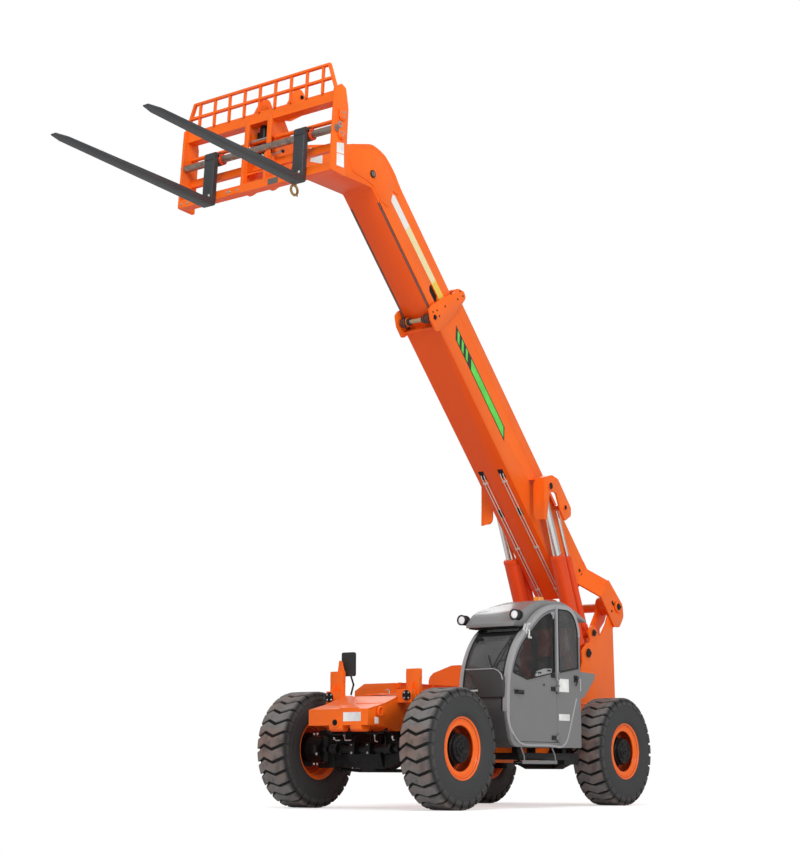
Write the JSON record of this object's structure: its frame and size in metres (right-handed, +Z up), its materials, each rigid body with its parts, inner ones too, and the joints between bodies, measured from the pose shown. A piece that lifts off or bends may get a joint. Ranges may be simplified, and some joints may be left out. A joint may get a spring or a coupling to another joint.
{
  "type": "telehandler",
  "caption": "Rough-terrain telehandler with a raised telescopic boom, fork carriage with load guard, side cab, engine hood and steered lugged wheels.",
  "frame": {"origin": "under the middle of the bounding box, on the ground", "axes": "+X forward towards the forks, +Y to the left (the cab side), +Z up"},
  "size_m": [9.5684, 2.504, 8.0684],
  "materials": {
    "black_paint": "satin",
    "cab_grey": "satin",
    "cab_silver": "satin",
    "cast": "rough",
    "dark_steel": "satin",
    "glass": "clear",
    "hook": "worn",
    "lamp": "clear",
    "orange": "gloss",
    "plastic": "grained",
    "red_orange": "gloss",
    "rod_steel": "polished",
    "rubber": "matt",
    "seat": "woven"
  },
  "bodies": {
    "chassis": {"cab_controls": "plastic", "cab_roof": "cab_silver", "cab_seat": "seat", "cab_shell": "cab_grey", "cab_side_frame": "cab_silver", "cab_windows": "glass", "chassis_frame": "orange", "counterweight": "orange", "engine_block": "cast", "engine_housing": "orange", "front_axle": "black_paint", "mirror": "plastic", "outriggers": "orange", "rear_axle": "black_paint", "tower": "orange", "work_lamps": "lamp"},
    "boom_base": {"boom_base": "orange"},
    "boom_fly": {"boom_fly": "orange"},
    "carriage": {"carriage_frame": "orange", "fork_shaft": "rod_steel", "forks": "dark_steel", "lifting_hook": "hook"},
    "cab_door": {"cab_door": "cab_grey", "cab_door_window": "glass"},
    "engine_hood_lid": {"engine_hood_lid": "orange"},
    "knuckle_front_left": {"knuckle_front_left": "black_paint"},
    "knuckle_front_right": {"knuckle_front_right": "black_paint"},
    "knuckle_rear_left": {"knuckle_rear_left": "black_paint"},
    "knuckle_rear_right": {"knuckle_rear_right": "black_paint"},
    "level_barrel_left": {"level_barrel_left": "red_orange"},
    "level_barrel_right": {"level_barrel_right": "red_orange"},
    "level_rod_left": {"level_rod_left": "rod_steel"},
    "level_rod_right": {"level_rod_right": "rod_steel"},
    "lift_barrel_left": {"lift_barrel_left": "red_orange"},
    "lift_barrel_right": {"lift_barrel_right": "red_orange"},
    "lift_rod_left": {"lift_rod_left": "rod_steel"},
    "lift_rod_right": {"lift_rod_right": "rod_steel"},
    "wheel_front_left": {"rim_front_left": "orange", "tyre_front_left": "rubber"},
    "wheel_front_right": {"rim_front_right": "orange", "tyre_front_right": "rubber"},
    "wheel_rear_left": {"rim_rear_left": "orange", "tyre_rear_left": "rubber"},
    "wheel_rear_right": {"rim_rear_right": "orange", "tyre_rear_right": "rubber"}
  },
  "joints": [
    {"name": "boom_lift", "type": "hinge", "parent": "chassis", "child": "boom_base", "pos_m": [-4.60421, 0, 2.63], "axis": [0, -1, 0], "range_deg": [-49.42, 18.58]},
    {"name": "boom_extend", "type": "slide", "parent": "boom_base", "child": "boom_fly", "axis": [0.6894, 0, 0.7244], "range_m": [-1.35, 2]},
    {"name": "carriage_tilt", "type": "hinge", "parent": "boom_fly", "child": "carriage", "pos_m": [1.76579, 0, 7.32], "axis": [0, 1, 0], "range_deg": [-58, 75]},
    {"name": "lift_cylinder_swing_left", "type": "hinge", "parent": "chassis", "child": "lift_barrel_left", "pos_m": [-3.84921, 0.365, 1.964], "axis": [0, -1, 0], "range_deg": [-48.54, 18.62]},
    {"name": "lift_cylinder_stroke_left", "type": "slide", "parent": "lift_barrel_left", "child": "lift_rod_left", "axis": [0.385, 0, 0.9229], "range_m": [-0.8168, 0.3108]},
    {"name": "lift_cylinder_swing_right", "type": "hinge", "parent": "chassis", "child": "lift_barrel_right", "pos_m": [-3.84921, -0.365, 1.964], "axis": [0, -1, 0], "range_deg": [-48.54, 18.62]},
    {"name": "lift_cylinder_stroke_right", "type": "slide", "parent": "lift_barrel_right", "child": "lift_rod_right", "axis": [0.385, 0, 0.9229], "range_m": [-0.8168, 0.3108]},
    {"name": "level_cylinder_swing_left", "type": "hinge", "parent": "chassis", "child": "level_barrel_left", "pos_m": [-3.99921, 0.365, 2.24], "axis": [0, -1, 0], "range_deg": [-52.49, 20.11]},
    {"name": "level_cylinder_stroke_left", "type": "slide", "parent": "level_barrel_left", "child": "level_rod_left", "axis": [0.3892, 0, 0.9211], "range_m": [-0.6098, 0.233]},
    {"name": "level_cylinder_swing_right", "type": "hinge", "parent": "chassis", "child": "level_barrel_right", "pos_m": [-3.99921, -0.365, 2.24], "axis": [0, -1, 0], "range_deg": [-52.49, 20.11]},
    {"name": "level_cylinder_stroke_right", "type": "slide", "parent": "level_barrel_right", "child": "level_rod_right", "axis": [0.3892, 0, 0.9211], "range_m": [-0.6098, 0.233]},
    {"name": "steer_front_left", "type": "hinge", "parent": "chassis", "child": "knuckle_front_left", "pos_m": [0.10579, 0.715, 0.675], "axis": [0, 0, 1], "range_deg": [-30, 30]},
    {"name": "roll_front_left", "type": "hinge", "parent": "knuckle_front_left", "child": "wheel_front_left", "pos_m": [0.10579, 1.03, 0.675], "axis": [0, 1, 0], "continuous": true},
    {"name": "steer_front_right", "type": "hinge", "parent": "chassis", "child": "knuckle_front_right", "pos_m": [0.10579, -0.715, 0.675], "axis": [0, 0, 1], "range_deg": [-30, 30]},
    {"name": "roll_front_right", "type": "hinge", "parent": "knuckle_front_right", "child": "wheel_front_right", "pos_m": [0.10579, -1.03, 0.675], "axis": [0, 1, 0], "continuous": true},
    {"name": "steer_rear_left", "type": "hinge", "parent": "chassis", "child": "knuckle_rear_left", "pos_m": [-3.51421, 0.715, 0.675], "axis": [0, 0, 1], "range_deg": [-30, 30]},
    {"name": "roll_rear_left", "type": "hinge", "parent": "knuckle_rear_left", "child": "wheel_rear_left", "pos_m": [-3.51421, 1.03, 0.675], "axis": [0, 1, 0], "continuous": true},
    {"name": "steer_rear_right", "type": "hinge", "parent": "chassis", "child": "knuckle_rear_right", "pos_m": [-3.51421, -0.715, 0.675], "axis": [0, 0, 1], "range_deg": [-30, 30]},
    {"name": "roll_rear_right", "type": "hinge", "parent": "knuckle_rear_right", "child": "wheel_rear_right", "pos_m": [-3.51421, -1.03, 0.675], "axis": [0, 1, 0], "continuous": true},
    {"name": "cab_door_swing", "type": "hinge", "parent": "chassis", "child": "cab_door", "pos_m": [-1.91421, 1.221, 1.2], "axis": [0, 0, 1], "range_deg": [0, 95]},
    {"name": "engine_hood_lift", "type": "hinge", "parent": "chassis", "child": "engine_hood_lid", "pos_m": [-1.73421, -0.514, 1.487], "axis": [-1, 0, 0], "range_deg": [0, 55]}
  ],
  "couplings": [
    {"joint": "lift_cylinder_swing_left", "follows": "boom_lift", "ratio": 0.97},
    {"joint": "lift_cylinder_stroke_left", "follows": "boom_lift", "m_per_rad": 0.94},
    {"joint": "lift_cylinder_swing_right", "follows": "boom_lift", "ratio": 0.97},
    {"joint": "lift_cylinder_stroke_right", "follows": "boom_lift", "m_per_rad": 0.94},
    {"joint": "level_cylinder_swing_left", "follows": "boom_lift", "ratio": 1.05},
    {"joint": "level_cylinder_stroke_left", "follows": "boom_lift", "m_per_rad": 0.7},
    {"joint": "level_cylinder_swing_right", "follows": "boom_lift", "ratio": 1.05},
    {"joint": "level_cylinder_stroke_right", "follows": "boom_lift", "m_per_rad": 0.7},
    {"joint": "steer_front_right", "follows": "steer_front_left", "ratio": 1},
    {"joint": "steer_rear_right", "follows": "steer_rear_left", "ratio": 1}
  ]
}
